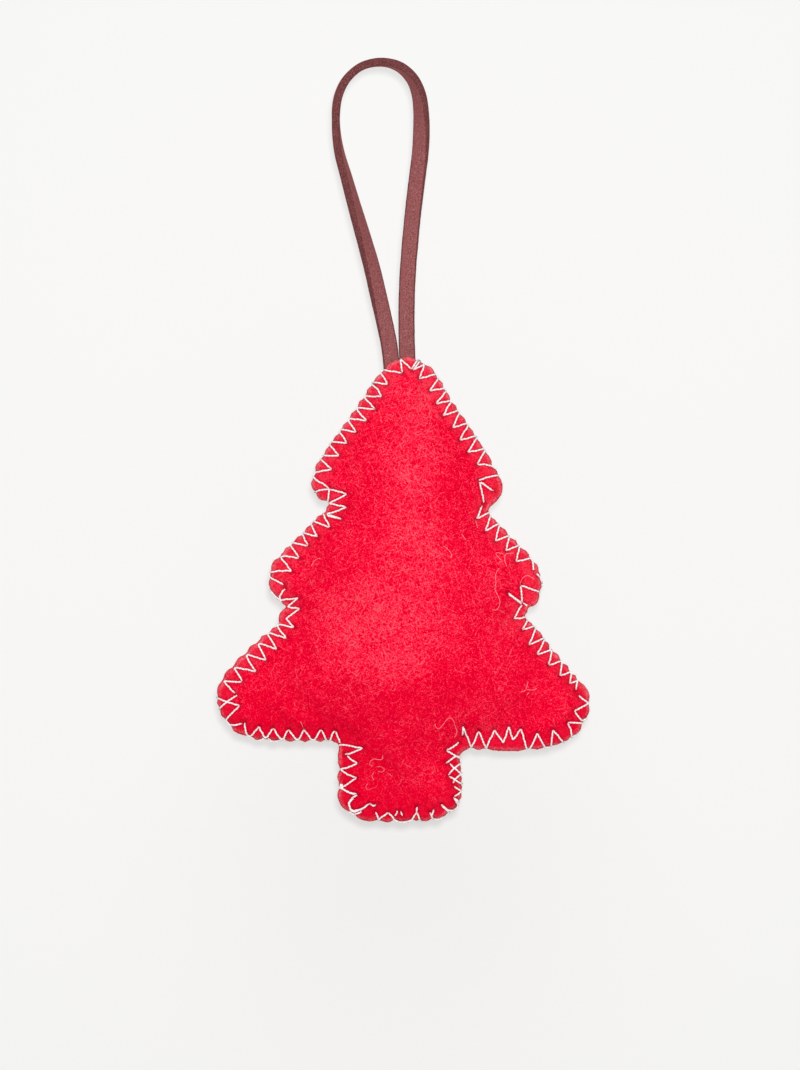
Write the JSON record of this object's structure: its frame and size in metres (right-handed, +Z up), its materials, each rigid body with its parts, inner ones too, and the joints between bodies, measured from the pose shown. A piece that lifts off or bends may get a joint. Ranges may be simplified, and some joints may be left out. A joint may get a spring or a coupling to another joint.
{
  "type": "felt tree ornament",
  "caption": "Stuffed felt christmas tree ornament with a white zigzag-stitched edge and a flat suede lace hanging loop.",
  "frame": {"origin": "inner top of the lace loop, where it hangs on a hook or a twig", "axes": "+Z up along the hanging ornament, -Y is its front face, +X is to the viewer's right"},
  "size_m": [0.0699, 0.0162, 0.1441],
  "materials": {
    "red_felt": "pressed wool felt with a short nap",
    "suede_lace": "brushed suede",
    "white_thread": "spun polyester, slightly shiny",
    "fibre_filling": "matte"
  },
  "bodies": {
    "hanging_loop": {"hanging_lace_loop": "suede_lace"},
    "tree": {"lace_tail_left": "suede_lace", "lace_tail_right": "suede_lace", "front_felt_panel": "red_felt", "back_felt_panel": "red_felt", "fibre_filling": "fibre_filling", "needle_thread": "white_thread", "bobbin_thread": "white_thread", "closing_needle_thread": "white_thread", "closing_bobbin_thread": "white_thread"}
  },
  "joints": [
    {"name": "tree_swing", "type": "hinge", "parent": "hanging_loop", "child": "tree", "pos_m": [0.00295, 0, -0.05196], "axis": [1, 0, 0], "range_deg": [-120, 120]}
  ]
}
